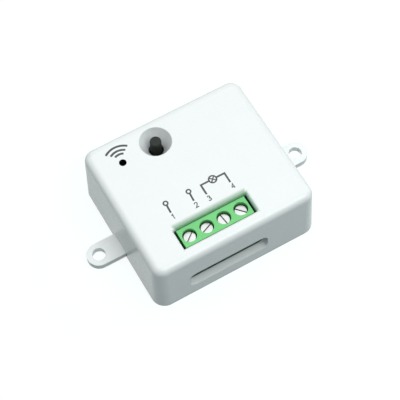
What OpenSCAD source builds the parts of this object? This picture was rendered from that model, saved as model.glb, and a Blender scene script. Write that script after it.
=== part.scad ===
// Smart relay module: a small mains relay with a radio, for fitting behind a switch or in a ceiling.
// A leaning white cover snaps over a base plate with two mounting ears. Inside, one board carries
// a screw terminal, a push switch, a relay, a small power supply and a radio.
// Frame: origin at the centre of the case's foot, X along the ears, -Y towards the wires, Z up.

/* [Case] */
// Width of the case at its foot, along X
case_w = 49; // [48:0.5:60]
// Depth of the case at its foot, along Y
case_d = 43.5; // [43:0.5:54]
// Height of the case
case_h = 18.6; // [18:0.2:24]
// How far each wall leans in over the height of the case
draft = 0.75; // [0.3:0.05:0.9]
// Thickness of the side walls
wall_t = 1.9; // [1.5:0.1:2.1]
// Thickness of the roof
roof_t = 1.6; // [1.2:0.1:2]
// Corner radius at the foot, seen from above
corner_r = 3.8; // [3.6:0.1:6]
// Rounding along the top edge
top_fillet = 2.2; // [1:0.1:2.4]

/* [Base plate and ears] */
// Thickness of the base plate and its ears
base_t = 2; // [1.6:0.1:2.4]
// Distance between the two mounting holes
ear_spacing = 61.7; // [58:0.1:76]
// Diameter of each mounting hole
ear_hole_d = 3.6; // [3:0.1:4.5]
// Width of each ear, which ends in a half round
ear_w = 6.8; // [6:0.1:9]
// Height of the standoffs under the board
standoff_h = 0.9; // [0.8:0.1:1.4]
// Width of each snap hook
hook_w = 5; // [3:0.5:7]

/* [Terminal block] */
// Distance between neighbouring terminal screws
pitch = 5.08; // [5:0.01:5.12]
// Place of the middle of the row along X
row_x = -2.86; // [-3.4:0.02:-2.4]
// Distance from the front edge of the foot back to the screws
row_setback = 7.38; // [7.2:0.02:7.8]
// Rounding along the edge of the window that the screws are reached through
window_fillet = 1; // [0.2:0.1:1.4]
// Depth of the raised part of the housing that fills the window
neck_d = 5.6; // [4.6:0.1:6]
// How far the housing stays below the top of the case
housing_drop = 0.8; // [0.4:0.1:1.2]
// Diameter of the hole over each screw
screw_well_d = 3.84; // [3.6:0.02:4.2]
// Diameter of the screw heads
screw_head_d = 3.4; // [3:0.1:3.5]
// Thread diameter of the screws
screw_d = 2.5; // [2:0.1:2.6]
// How far each screw head stays below the top of the housing
screw_drop = 1.2; // [0.8:0.1:1.5]
// How far a clamp rises from open to closed
clamp_travel = 2.4; // [1.6:0.1:2.6]

/* [Wire slot] */
// Height of the slot in the front wall
slot_h = 5.8; // [4.6:0.1:6]
// Corner radius of the slot
slot_corner_r = 2; // [0.4:0.1:2.2]
// How far the slot reaches past the terminal block at each end
slot_overrun = 1.7; // [0.5:0.1:3]

/* [Push button] */
// Place of the button along X
button_x = -4.83; // [-5.4:0.01:-4.4]
// Distance from the back edge of the foot to the button
button_setback = 7.73; // [7.4:0.01:8.4]
// Diameter of the funnel at the top of the case
funnel_d = 8.88; // [7:0.02:9.6]
// Depth of the funnel
funnel_depth = 4.26; // [3:0.02:5]
// Diameter of the hole at the bottom of the funnel
funnel_hole_d = 4.14; // [3.6:0.02:5]
// Diameter of the button stem
stem_d = 3.08; // [2.6:0.02:3.4]
// How far the stem stands above the case
stem_proud = 0.25; // [0:0.05:1]
// Travel of the button
stem_travel = 0.25; // [0.2:0.01:0.35]
// Chamfer round the top of the stem
stem_chamfer = 0.2; // [0.1:0.05:0.4]

/* [Status light] */
// Place of the light hole along X
light_x = -15.37; // [-15.8:0.01:-14.8]
// Distance from the back edge of the foot to the light hole
light_setback = 8.99; // [8.4:0.01:9.2]
// Diameter of the light hole
light_d = 2.06; // [1.6:0.02:2.6]

/* [Board] */
// Thickness of the board
board_t = 1.6; // [1.2:0.1:1.8]
// Gap between the board and the side walls, where the hooks stand
board_gap_x = 1.6; // [1.5:0.1:2]
// Gap between the board and the front and back walls
board_gap_y = 0.45; // [0.3:0.05:0.6]

/* [Relay] */
// Width of the relay, along X
relay_w = 10.2; // [9.8:0.1:10.8]
// Length of the relay, along Y
relay_l = 20; // [18.6:0.1:20.4]
// Wall of the relay case
relay_wall = 0.8; // [0.6:0.1:0.9]
// How far the armature swings, in degrees
armature_swing = 5; // [3:0.5:6]

/* [Power supply] */
// Diameter of the mains side capacitors
bulk_d = 6.3; // [5:0.1:8]
// Diameter of the low voltage capacitors
output_d = 6; // [5:0.1:6.2]
// Height of the low voltage capacitors
output_h = 8; // [6:0.5:10]
// Width and depth of the transformer core
core_w = 10; // [9:0.1:10.4]
// Thickness of the transformer core
core_t = 4.6; // [3.6:0.1:5]
// Diameter of the varistor
varistor_d = 6.4; // [5:0.1:6.8]
// Diameter of the fuse resistor
fuse_d = 2.5; // [2:0.1:2.8]
// Length of the fuse resistor
fuse_l = 7; // [5:0.5:9]

/* [Radio] */
// Width of the radio board, along X
radio_w = 15; // [13:0.1:15.6]
// Depth of the radio board, along Y
radio_d = 12; // [10.5:0.1:12.2]
// Height of the shield can
shield_h = 2.4; // [1.6:0.1:3.2]

/* [Hidden] */
$fn = 64;

// Clearances: a close fit, a loose fit, a moving gap, and the overshoot of a cut
fit_gap = 0.1;
loose_gap = 0.3;
running_gap = 0.04;
cut = 1;

// A place snapped to a thousandth, so that a wall and its round corner meet exactly
function micron(v) = round(v * 1000) / 1000;

// Levels from the floor up
board_bottom = base_t + standoff_h;
board_top = board_bottom + board_t;
roof_z = case_h - roof_t;
headroom = roof_z - board_top;
// How far the posts, the light tube and the funnel root in the roof
roof_root = roof_t / 2;

// Inner faces of the leaning walls at a height z
function inner_x(z) = case_w / 2 - draft * z / case_h - wall_t;
function inner_y(z) = case_d / 2 - draft * z / case_h - wall_t;
inner_fillet = 0.6;
inner_r = max(corner_r - wall_t, draft + inner_fillet + fit_gap);

// Board, and the four corner posts that locate it
board_w = 2 * (inner_x(board_top) - board_gap_x);
board_d = 2 * (inner_y(board_top) - board_gap_y);
board_r = 1;
post_inset_x = 2.8;
post_inset_y = 2.6;
post_x = board_w / 2 - post_inset_x;
post_y = board_d / 2 - post_inset_y;
standoff_r = 2;
pin_r = 0.9;
pin_rise = 0.8;
pillar_r = 1.6;
pillar_gap = 0.05;

// Round leads, their holes in the board and how far they stand out below it
lead_r = 0.3;
lead_hole_r = 0.45;
lead_tail = 0.6;
lead_end = board_bottom - lead_tail;

// Snap hooks beside the board
hook_t = 1;
hook_h = 5.6;
hook_y = 11.5;
barb_reach = 0.65;
barb_h = 1.4;
barb_drop = 0.8;
pocket_depth = 0.75;
hook_top = base_t + hook_h;
hook_face = inner_x(hook_top) - loose_gap;

// Terminal block
poles = 4;
row_y = row_setback - case_d / 2;
row_l = poles * pitch;
slot_angles = [38.6, 22.1, -83.2, -47.7];
function pole_x(i) = row_x + (i - (poles - 1) / 2) * pitch;
window_gap_x = 0.62;
window_gap_y = 0.1;
housing_top = case_h - housing_drop;
shoulder_gap = 0.4;
shoulder_z = roof_z - shoulder_gap;
housing_front = loose_gap - inner_y(roof_z);
housing_rear = 0.7;
screw_top = housing_top - screw_drop;
head_h = 1.4;
head_slot_w = 0.45;
head_slot_depth = 0.7;
seat_z = screw_top - head_h - fit_gap;
shank_hole_r = screw_d / 2 + fit_gap;
clamp_w = 3.7;
clamp_d = 4.4;
clamp_wall = 0.5;
clamp_floor = 0.7;
clamp_head = 1.5;
wire_gap = 3.3;
plate_t = 0.8;
plate_w = 2.2;
plate_leg_t = 0.7;
clamp_lift = 0.5;
clamp_bottom = board_top + clamp_lift;
plate_bottom = clamp_bottom + clamp_floor + wire_gap;
plate_top = plate_bottom + plate_t;
clamp_inner_top = plate_top + fit_gap;
clamp_top = clamp_inner_top + clamp_head;
cavity_top = clamp_top + clamp_travel + fit_gap;
clamp_side_gap = 0.15;
cavity_w = clamp_w + 2 * clamp_side_gap;
cavity_front = row_y - clamp_d / 2 - loose_gap;
leg_front = row_y + clamp_d / 2 + loose_gap;
cavity_back = leg_front + plate_leg_t + fit_gap;
housing_back = cavity_back + housing_rear;
leg_y = leg_front + plate_leg_t / 2;
entry_w = 2.9;
entry_bottom = clamp_bottom + clamp_floor;
entry_h = wire_gap;
contact_pin_r = plate_leg_t / 2;

// Slot in the front wall, level with the wire entries
slot_sill = 0.5;
slot_bottom = board_top - slot_sill;
slot_l = row_l + 2 * slot_overrun;
// Pad round the slot inside the wall: its border, and how far its top edge stands out
slot_pad_w = 0.6;
slot_pad_proud = 0.04;

// Push switch under the button
button_y = case_d / 2 - button_setback;
funnel_z = case_h - funnel_depth;
funnel_wall = 1.2;
switch_w = 6;
switch_h = 3.3;
switch_floor = 1;
switch_frame_t = 0.3;
switch_frame_lip = 1;
switch_cup_r = 2.4;
stem_top = case_h + stem_proud;
collar_r = 2.2;
collar_top = board_top + switch_h - fit_gap;
dome_r = 2.2;
dome_t = 0.12;
dome_pressed = 0.9;
dome_z = board_top + switch_floor;
dome_rise = dome_pressed + stem_travel;
collar_h = collar_top - dome_z - dome_rise - fit_gap;
leg_t = 0.3;
leg_w = 0.7;
leg_x = switch_w / 2 + leg_t / 2;
leg_pitch = 4.5;
leg_rise = 1.2;
leg_hole_r = 0.5;

// Status light, with a short dark tube above it
light_y = case_d / 2 - light_setback;
tube_wall = 0.9;
tube_r = light_d / 2 + tube_wall;
tube_l = 6;
led_l = 2;
led_w = 1.25;
led_base_h = 0.4;
led_h = 0.8;
led_lens_l = 1.3;

// Relay: place, then levels above the board
relay_edge = 0.6;
relay_post_gap = 0.6;
relay_x = board_w / 2 - relay_edge - relay_w / 2;
relay_y = relay_l / 2 - post_y + pillar_r + relay_post_gap;
relay_roof_gap = 0.9;
relay_h = headroom - relay_roof_gap;
relay_lift = 0.2;
relay_in_x = relay_w / 2 - relay_wall;
relay_in_y = relay_l / 2 - relay_wall;
relay_in_top = relay_h - relay_wall;
relay_base_t = 1.4;
yoke_t = 1;
yoke_w = 6;
yoke_top = relay_base_t + yoke_t;
contact_r = 0.7;
contact_roof_gap = 0.25;
contact_z = relay_in_top - contact_r - contact_roof_gap;
blade_t = 0.45;
blade_w = 1.2;
blade_top = contact_z + contact_r - fit_gap;
blade_low = contact_z - contact_r + fit_gap;
flange_gap = 0.1;
flange_top = blade_low - flange_gap;
flange_low = yoke_top + fit_gap / 2;
coil_z = (flange_top + flange_low) / 2;
flange_w = 2 * (relay_in_x - fit_gap - blade_t - flange_gap);
flange_t = 0.8;
pole_y = -relay_in_y / 2;
yoke_rear_gap = 0.6;
yoke_back = relay_in_y - yoke_rear_gap;
tube_t = 0.5;
magnet_gap = 0.02;
pole_proud = 0.2;
bobbin_front = pole_y + pole_proud;
bobbin_back = yoke_back - yoke_t - fit_gap;
winding_inset = 0.2;
winding_r = min(flange_top - flange_low, flange_w) / 2 - winding_inset;
magnet_share = 0.476;
magnet_r = micron(magnet_share * winding_r);
armature_t = 1;
armature_gap = 0.15;
pivot_y = pole_y - armature_gap - armature_t / 2;
pivot_z = yoke_top + fit_gap;
armature_top = flange_top;
arm_t = 0.3;
arm_w = 3;
arm_gap = 0.01;
arm_lift = 0.7;
arm_low = pivot_z + arm_lift;
arm_face = pole_y - armature_gap - armature_t - arm_gap;
spring_w = 2;
spring_t = 0.2;
coil_pin_x = 3.2;
coil_pin_inset = 1.2;
coil_pin_y = coil_pin_inset - relay_in_y;
coil_pin_rise = 1.4;
relay_pin_r = 0.4;
common_pin_inset = 1.6;
common_pin_y = yoke_back - common_pin_inset;
blade_x = relay_in_x - fit_gap - blade_t;
blade_y = pole_y + blade_w / 2;
blade_pin_r = 0.2;

// Mains side capacitors along the left edge
bulk_edge = 0.8;
bulk_gap = 0.4;
bulk_roof_gap = 1.2;
bulk_h = headroom - bulk_roof_gap;
bulk_x = bulk_edge - board_w / 2 + bulk_d / 2;
bulk_tube_gap = 1.2;
bulk_back = light_y - tube_r - bulk_tube_gap;
bulk_places = [[bulk_x, bulk_back - bulk_d / 2], [bulk_x, bulk_back - 1.5 * bulk_d - bulk_gap]];
bulk_front = bulk_back - 2 * bulk_d - bulk_gap;
bulk_lead_pitch = 2.5;
seal_h = 1.4;
seal_inset = 0.6;
can_lip = 0.5;
groove_depth = 0.35;

// Fuse resistor behind the terminal block, and the transformer behind it
part_gap = 0.8;
fuse_y = housing_back + part_gap + fuse_d / 2;
fuse_lift = 0.4;
fuse_z = board_top + fuse_lift + fuse_d / 2;
fuse_lead_out = 1.1;
core_leg = 2.4;
core_side = 1.3;
core_lift = 3.2;
core_z = board_top + core_lift;
xf_flange_t = 0.6;
xf_tube_t = 0.4;
xf_build = 1.5;
xf_rail_h = 1.6;
xf_rail_d = 2;
xf_gap = 0.1;
xf_d = core_w + 2 * xf_gap;
xf_x = bulk_x + bulk_d / 2 + part_gap + core_w / 2;
xf_y = fuse_y + fuse_d / 2 + part_gap + xf_d / 2;
xf_pin_pitch = 2.5;
xf_window = core_w / 2 - core_side;
fuse_x = xf_x;

// Small parts on top of the board: place, body size, leads per side
chip_foot = 0.25;
chip_lead_t = 0.2;
chip_lead_w = 0.45;
chip_lead_out = 1;
bridge_size = [4.7, 3.9, 2.4];
bridge_pitch = 2.5;
bridge_back = button_y - switch_w / 2 - switch_frame_t - part_gap / 2;
bridge_place = [button_x + 1, bridge_back - chip_lead_out - bridge_size[1] / 2];
power_chip_size = [4.9, 3.9, 1.6];
leg_left = button_x - leg_x - leg_hole_r;
power_chip_pitch = 1.27;
power_chip_x = leg_left - part_gap / 2 - power_chip_size[0] / 2;
power_chip_place = [power_chip_x, button_y + 1];
regulator_size = [4.5, 2.4, 1.5];
regulator_pitch = 1.5;
regulator_gap = (bridge_size[0] + regulator_size[0] + part_gap) / 2;
regulator_place = [bridge_place[0] - regulator_gap, bulk_back - 1.3];
driver_size = [2.9, 1.3, 1.1];
driver_pitch = 1.9;
driver_x = fuse_x + fuse_l / 2 + fuse_lead_out + lead_hole_r + part_gap + driver_size[0] / 2;
driver_place = [driver_x, fuse_y];
diode_size = [2.7, 1.6, 1.2];
diode_lead_w = 0.9;
diode_place = [driver_x + driver_size[0] / 2 + part_gap + diode_size[0] / 2, fuse_y];

// Low voltage capacitors beside the relay
output_edge = 1.7;
output_gap = 0.5;
output_x = relay_x - relay_w / 2 - output_edge - output_d / 2;
output_y = fuse_y + diode_size[1] / 2 + chip_lead_out + part_gap / 2 + output_d / 2;
output_places = [[output_x, output_y], [output_x, output_y + output_d + output_gap]];
output_lead_pitch = 2.5;

// Varistor between the capacitors and the front left post
varistor_t = 3.2;
varistor_lift = 1;
varistor_edge = 2;
varistor_x = varistor_edge + varistor_t / 2 - board_w / 2;
varistor_y = bulk_front - part_gap - varistor_d / 2;
varistor_z = board_top + varistor_lift + varistor_d / 2;
varistor_pitch = 5;

// Radio board in the back right corner
radio_t = 0.8;
radio_edge = 0.4;
radio_post_gap = 0.3;
radio_x = post_x - pillar_r - radio_post_gap - radio_w / 2;
radio_y = board_d / 2 - radio_edge - radio_d / 2;
radio_top = board_top + radio_t;
shield_inset = 0.9;
antenna_w = 3.6;
shield_w = radio_w - 2 * shield_inset - antenna_w;
shield_d = radio_d - 2 * shield_inset;
shield_t = 0.2;
shield_r = 0.6;
shield_x = radio_x - antenna_w / 2;
radio_pads = 6;
radio_pad_pitch = 1.6;
radio_pad_r = 0.4;
radio_chip_w = 5;
radio_chip_h = 0.9;

// Small parts below the board
chip_l = 2;
chip_w = 1.25;
chip_h = 0.5;
chip_cap_t = 0.35;
chip_pitch = 2.4;
chip_column_gap = 3.2;
chip_rows = 4;
chip_place = [relay_x - 1.6, relay_y - 1];

function around(c, points) = [for (p = points) [c[0] + p[0], c[1] + p[1]]];
function pair_x(c, gap) = around(c, [[-gap / 2, 0], [gap / 2, 0]]);
function pair_y(c, gap) = around(c, [[0, -gap / 2], [0, gap / 2]]);
function square_of(c, x, y) = around(c, [for (sx = [-1, 1], sy = [-1, 1]) [sx * x, sy * y]]);

// Places of everything that goes through the board
post_places = square_of([0, 0], post_x, post_y);
leg_places = square_of([button_x, button_y], leg_x, leg_pitch / 2);
contact_places = [for (i = [0 : poles - 1]) [pole_x(i), leg_y]];
bulk_lead_places = [for (c = bulk_places) each pair_y(c, bulk_lead_pitch)];
output_lead_places = [for (c = output_places) each pair_y(c, output_lead_pitch)];
varistor_lead_places = pair_y([varistor_x, varistor_y], varistor_pitch);
fuse_lead_places = pair_x([fuse_x, fuse_y], fuse_l + 2 * fuse_lead_out);
xf_rail_y = core_w / 2 - xf_rail_d / 2;
xf_pin_places = [for (s = [-1, 1], i = [-1, 0, 1]) [xf_x + i * xf_pin_pitch, xf_y + s * xf_rail_y]];
relay_coil_places = pair_x([relay_x, relay_y + coil_pin_y], 2 * coil_pin_x);
relay_common_place = [relay_x, relay_y + common_pin_y];
relay_blade_place = [relay_x + blade_x + blade_t / 2, relay_y + blade_y];

module box(size, at) {
    translate([at[0] - size[0] / 2, at[1] - size[1] / 2, at[2]])
        cube(size);
}

module round_slab(w, d, r, h) {
    box([w, d - 2 * r, h], [0, 0, 0]);
    box([w - 2 * r, d, h], [0, 0, 0]);
    for (p = square_of([0, 0], w / 2 - r, d / 2 - r))
        translate([p[0], p[1], 0])
            cylinder(r = r, h = h);
}

module post(p, z, r, h) {
    translate([p[0], p[1], z])
        cylinder(r = r, h = h);
}

module leads(places, r, top) {
    for (p = places)
        post(p, lead_end, r, top - lead_end);
}

// Quarter disc that rounds a top edge
module edge_round(x, z, f) {
    translate([x, z])
        intersection() {
            circle(r = f);
            square(f);
        }
}

// Half section of a leaning block, turned into its corners
module leaning_half(half, lean, h, f) {
    z = h - f;
    x = half - f - micron(lean * z / h);
    polygon([[0, 0], [half, 0], [x + f, z], [x, h], [0, h]]);
    edge_round(x, z, f);
}

// Whole section of a leaning block, drawn out between its corners
module leaning_section(half, lean, h, f) {
    z = h - f;
    x = half - f - micron(lean * z / h);
    polygon([[-half, 0], [half, 0], [x + f, z], [x, h], [-x, h], [-x - f, z]]);
    for (s = [0, 1])
        mirror([s, 0])
            edge_round(x, z, f);
}

// Block with leaning walls, round corners and a rounded top edge
module leaning_block(w, d, r, lean, h, f) {
    for (i = [0 : 3])
        translate([(i == 0 || i == 3 ? 1 : -1) * (w / 2 - r), (i < 2 ? 1 : -1) * (d / 2 - r), 0])
            rotate([0, 0, 90 * i])
                rotate_extrude(angle = 90)
                    leaning_half(r, lean, h, f);
    translate([0, d / 2 - r, 0])
        rotate([90, 0, 0])
            linear_extrude(d - 2 * r)
                leaning_section(w / 2, lean, h, f);
    translate([r - w / 2, 0, 0])
        rotate([90, 0, 90])
            linear_extrude(w - 2 * r)
                leaning_section(d / 2, lean, h, f);
}

module cover_shell() {
    inner_lean = micron(draft * roof_z / case_h);
    difference() {
        leaning_block(case_w, case_d, corner_r, draft, case_h, top_fillet);
        leaning_block(case_w - 2 * wall_t, case_d - 2 * wall_t, inner_r, inner_lean, roof_z, inner_fillet);
    }
}

// Pad that makes the wall upright and deeper round the slot
module slot_pad() {
    top = slot_bottom + slot_h + slot_pad_w;
    back = slot_pad_proud - inner_y(top);
    front = -inner_y(top) - wall_t / 2;
    box([slot_l + 2 * slot_pad_w, back - front, slot_h + 2 * slot_pad_w],
        [row_x, (front + back) / 2, slot_bottom - slot_pad_w]);
}

// Slot with round corners, cut through the front wall and its pad
module wire_slot() {
    r = slot_corner_r;
    y = -case_d / 2 - cut;
    depth = case_d / 2 + cut - inner_y(case_h);
    box([slot_l - 2 * r, depth, slot_h], [row_x, y + depth / 2, slot_bottom]);
    box([slot_l, depth, slot_h - 2 * r], [row_x, y + depth / 2, slot_bottom + r]);
    for (s = [-1, 1], z = [slot_bottom + r, slot_bottom + slot_h - r])
        translate([row_x + s * (slot_l / 2 - r), y, z])
            rotate([-90, 0, 0])
                cylinder(r = r, h = depth);
}

// Section of a window that opens out at the top in a round edge
module flared_section(w) {
    f = window_fillet;
    translate([-w / 2, roof_z - cut])
        square([w, roof_t + 2 * cut]);
    difference() {
        translate([-w / 2 - f, case_h - f])
            square([w + 2 * f, f + cut]);
        for (s = [-1, 1])
            translate([s * (w / 2 + f), case_h - f])
                circle(r = f);
    }
}

// Both sections drawn through each other, so that the round edges meet in the corners
module terminal_window() {
    w = row_l + 2 * window_gap_x;
    d = neck_d + 2 * window_gap_y;
    reach = window_fillet + cut;
    translate([row_x, row_y, 0])
        intersection() {
            translate([0, d / 2 + reach, 0])
                rotate([90, 0, 0])
                    linear_extrude(d + 2 * reach)
                        flared_section(w);
            translate([-w / 2 - reach, 0, 0])
                rotate([90, 0, 90])
                    linear_extrude(w + 2 * reach)
                        flared_section(d);
        }
}

module top_cover() {
    color("white")
        difference() {
            union() {
                cover_shell();
                slot_pad();
                translate([button_x, button_y, funnel_z - funnel_wall])
                    cylinder(r1 = funnel_hole_d / 2 + funnel_wall, r2 = funnel_d / 2 + funnel_wall,
                             h = roof_z + roof_root - funnel_z + funnel_wall);
                post([light_x, light_y], roof_z - tube_l, tube_r, tube_l + roof_root);
                for (p = post_places)
                    post(p, board_top + pillar_gap, pillar_r, headroom - pillar_gap + roof_root);
            }
            terminal_window();
            translate([button_x, button_y, funnel_z])
                cylinder(r1 = funnel_hole_d / 2, r2 = funnel_d / 2, h = funnel_depth);
            post([button_x, button_y], funnel_z - funnel_wall - cut, funnel_hole_d / 2,
                 funnel_wall + 2 * cut);
            post([light_x, light_y], roof_z - tube_l - cut, light_d / 2, tube_l + roof_t + 2 * cut);
            for (p = post_places)
                post(p, board_top - cut, pin_r + fit_gap, pin_rise + fit_gap + cut);
            wire_slot();
            for (s = [-1, 1]) {
                box([2 * wall_t + cut, ear_w + 2 * fit_gap, base_t + fit_gap + cut],
                    [s * case_w / 2, 0, -cut]);
                for (t = [-1, 1])
                    box([2 * pocket_depth, hook_w + 2 * fit_gap, barb_h + 2 * fit_gap],
                        [s * inner_x(hook_top), t * hook_y, hook_top - barb_drop - barb_h - fit_gap]);
            }
        }
}

module snap_hook() {
    barb_top = hook_h - barb_drop;
    translate([0, hook_w / 2, 0])
        rotate([90, 0, 0])
            linear_extrude(hook_w)
                polygon([[-hook_t, 0], [0, 0], [0, barb_top - barb_h], [barb_reach, barb_top - barb_h],
                         [0, barb_top], [0, hook_h], [-hook_t, hook_h]]);
}

module base_plate() {
    color("white")
        difference() {
            union() {
                round_slab(2 * (inner_x(base_t) - fit_gap), 2 * (inner_y(base_t) - fit_gap), inner_r, base_t);
                box([ear_spacing, ear_w, base_t], [0, 0, 0]);
                for (s = [-1, 1])
                    post([s * ear_spacing / 2, 0], 0, ear_w / 2, base_t);
                for (p = post_places) {
                    post(p, 0, standoff_r, board_bottom);
                    post(p, 0, pin_r, board_top + pin_rise);
                }
                for (s = [0, 1], t = [-1, 1])
                    mirror([s, 0, 0])
                        translate([hook_face, t * hook_y, base_t])
                            snap_hook();
            }
            for (s = [-1, 1])
                post([s * ear_spacing / 2, 0], -cut, ear_hole_d / 2, base_t + 2 * cut);
        }
}

module board_holes(places, r) {
    for (p = places)
        post(p, board_bottom - cut, r, board_t + 2 * cut);
}

module main_board() {
    color("darkgreen")
        difference() {
            translate([0, 0, board_bottom])
                round_slab(board_w, board_d, board_r, board_t);
            board_holes(post_places, pin_r + fit_gap);
            board_holes(leg_places, leg_hole_r);
            board_holes(contact_places, contact_pin_r + fit_gap);
            board_holes(bulk_lead_places, lead_hole_r);
            board_holes(output_lead_places, lead_hole_r);
            board_holes(varistor_lead_places, lead_hole_r);
            board_holes(fuse_lead_places, lead_hole_r);
            board_holes(xf_pin_places, lead_hole_r);
            board_holes(relay_coil_places, relay_pin_r + fit_gap);
            board_holes([relay_common_place, relay_blade_place], relay_pin_r + fit_gap);
        }
}

module terminal_housing() {
    body_d = housing_back - housing_front;
    cavity_d = cavity_back - cavity_front;
    color("limegreen")
        difference() {
            union() {
                box([row_l, body_d, shoulder_z - board_top],
                    [row_x, housing_front + body_d / 2, board_top]);
                box([row_l, neck_d, housing_top - board_top], [row_x, row_y, board_top]);
            }
            for (i = [0 : poles - 1]) {
                post([pole_x(i), row_y], seat_z, screw_well_d / 2, housing_top - seat_z + cut);
                post([pole_x(i), row_y], cavity_top - cut, shank_hole_r, seat_z - cavity_top + 2 * cut);
                box([cavity_w, cavity_d, cavity_top - board_top + cut],
                    [pole_x(i), cavity_front + cavity_d / 2, board_top - cut]);
                box([entry_w, cavity_front - housing_front + 2 * cut, entry_h],
                    [pole_x(i), (cavity_front + housing_front) / 2, entry_bottom]);
            }
        }
}

module terminal_contacts() {
    plate_front = row_y - clamp_d / 2;
    plate_back = leg_front + plate_leg_t;
    color("silver")
        for (i = [0 : poles - 1]) {
            box([plate_w, plate_back - plate_front, plate_t],
                [pole_x(i), (plate_front + plate_back) / 2, plate_bottom]);
            box([plate_w, plate_leg_t, plate_top - board_top], [pole_x(i), leg_y, board_top]);
            post([pole_x(i), leg_y], lead_end, contact_pin_r, board_top - lead_end + fit_gap);
        }
}

module terminal_screw(i) {
    color("silver")
        difference() {
            union() {
                post([pole_x(i), row_y], screw_top - head_h, screw_head_d / 2, head_h);
                post([pole_x(i), row_y], plate_top + fit_gap, screw_d / 2, screw_top - plate_top - head_h);
            }
            translate([pole_x(i), row_y, screw_top - head_slot_depth])
                rotate([0, 0, slot_angles[i]])
                    box([screw_head_d + cut, head_slot_w, head_slot_depth + cut], [0, 0, 0]);
        }
}

module wire_clamp(i) {
    at = [pole_x(i), row_y];
    color("gold")
        difference() {
            box([clamp_w, clamp_d, clamp_top - clamp_bottom], [at[0], at[1], clamp_bottom]);
            box([clamp_w - 2 * clamp_wall, clamp_d + cut, clamp_inner_top - clamp_bottom - clamp_floor],
                [at[0], at[1], clamp_bottom + clamp_floor]);
            post(at, clamp_inner_top - cut, screw_d / 2 + running_gap, clamp_head + 2 * cut);
        }
}

module button_stem() {
    shank_l = stem_top - stem_chamfer - collar_top + collar_h;
    color("black") {
        post([button_x, button_y], collar_top - collar_h, collar_r, collar_h);
        post([button_x, button_y], collar_top - collar_h, stem_d / 2, shank_l);
        translate([button_x, button_y, stem_top - stem_chamfer])
            cylinder(r1 = stem_d / 2, r2 = stem_d / 2 - stem_chamfer, h = stem_chamfer);
    }
}

module switch_base() {
    color("dimgray")
        difference() {
            box([switch_w, switch_w, switch_h], [button_x, button_y, board_top]);
            post([button_x, button_y], dome_z, switch_cup_r, switch_h);
        }
}

module switch_frame() {
    z = board_top + switch_h;
    color("silver")
        difference() {
            union() {
                box([switch_w, switch_w, switch_frame_t], [button_x, button_y, z]);
                for (s = [-1, 1])
                    box([switch_w / 2, switch_frame_t, switch_frame_lip + switch_frame_t],
                        [button_x, button_y + s * (switch_w + switch_frame_t) / 2, z - switch_frame_lip]);
            }
            post([button_x, button_y], z - cut, stem_d / 2 + running_gap, switch_frame_t + 2 * cut);
        }
}

module switch_dome() {
    ball_r = (dome_r * dome_r + dome_rise * dome_rise) / (2 * dome_rise);
    color("gold")
        translate([button_x, button_y, dome_z])
            rotate_extrude()
                intersection() {
                    translate([0, dome_rise - ball_r])
                        difference() {
                            circle(r = ball_r);
                            circle(r = ball_r - dome_t);
                        }
                    square([dome_r, dome_rise]);
                }
}

module switch_legs() {
    color("silver")
        for (p = leg_places)
            box([leg_t, leg_w, board_top + leg_rise - lead_end], [p[0], p[1], lead_end]);
}

module status_led() {
    color("ivory") {
        box([led_l, led_w, led_base_h], [light_x, light_y, board_top]);
        box([led_lens_l, led_w, led_h], [light_x, light_y, board_top]);
    }
}

module relay_at() {
    translate([relay_x, relay_y, board_top])
        children();
}

module relay_case() {
    color("royalblue")
        relay_at()
            difference() {
                box([relay_w, relay_l, relay_h - relay_lift], [0, 0, relay_lift]);
                box([2 * relay_in_x, 2 * relay_in_y, relay_in_top + cut], [0, 0, -cut]);
            }
}

module relay_base() {
    hole_r = relay_pin_r + magnet_gap;
    color("dimgray")
        relay_at()
            difference() {
                box([2 * (relay_in_x - fit_gap), 2 * (relay_in_y - fit_gap), relay_base_t], [0, 0, 0]);
                box([2 * (blade_t + fit_gap), blade_w + 2 * fit_gap, relay_base_t + 2 * cut],
                    [relay_in_x - fit_gap, blade_y, -cut]);
                for (s = [-1, 1])
                    post([s * coil_pin_x, coil_pin_y], -cut, hole_r, relay_base_t + 2 * cut);
                post([0, common_pin_y], -cut, hole_r, relay_base_t + 2 * cut);
            }
}

module relay_coil_pins() {
    color("silver")
        leads(relay_coil_places, relay_pin_r, board_top + relay_base_t + coil_pin_rise);
}

module along_y(y, z, r, l) {
    translate([0, y, z])
        rotate([-90, 0, 0])
            cylinder(r = r, h = l);
}

module relay_core() {
    color("lightsteelblue")
        relay_at()
            along_y(pole_y, coil_z, magnet_r, yoke_back - pole_y);
}

module relay_yoke() {
    yoke_front = pivot_y + armature_t / 2;
    color("slategray")
        relay_at()
            difference() {
                union() {
                    box([yoke_w, yoke_back - yoke_front, yoke_t],
                        [0, (yoke_back + yoke_front) / 2, relay_base_t]);
                    box([yoke_w, yoke_t, coil_z + magnet_r + yoke_t - relay_base_t],
                        [0, yoke_back - yoke_t / 2, relay_base_t]);
                    post([0, common_pin_y], lead_end - board_top, relay_pin_r,
                         board_top - lead_end + yoke_top);
                }
                along_y(yoke_back - yoke_t - cut, coil_z, magnet_r + magnet_gap, yoke_t + 2 * cut);
            }
}

module relay_bobbin() {
    bobbin_l = bobbin_back - bobbin_front;
    color("ivory")
        relay_at()
            difference() {
                union() {
                    along_y(bobbin_front, coil_z, magnet_r + magnet_gap + tube_t, bobbin_l);
                    for (y = [bobbin_front, bobbin_back - flange_t])
                        box([flange_w, flange_t, flange_top - flange_low], [0, y + flange_t / 2, flange_low]);
                }
                along_y(bobbin_front - cut, coil_z, magnet_r + magnet_gap, bobbin_l + 2 * cut);
            }
}

module relay_winding() {
    front = bobbin_front + flange_t + magnet_gap;
    l = bobbin_back - flange_t - magnet_gap - front;
    color("chocolate")
        relay_at()
            difference() {
                along_y(front, coil_z, winding_r, l);
                along_y(front - cut, coil_z, magnet_r + 2 * magnet_gap + tube_t, l + 2 * cut);
            }
}

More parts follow.
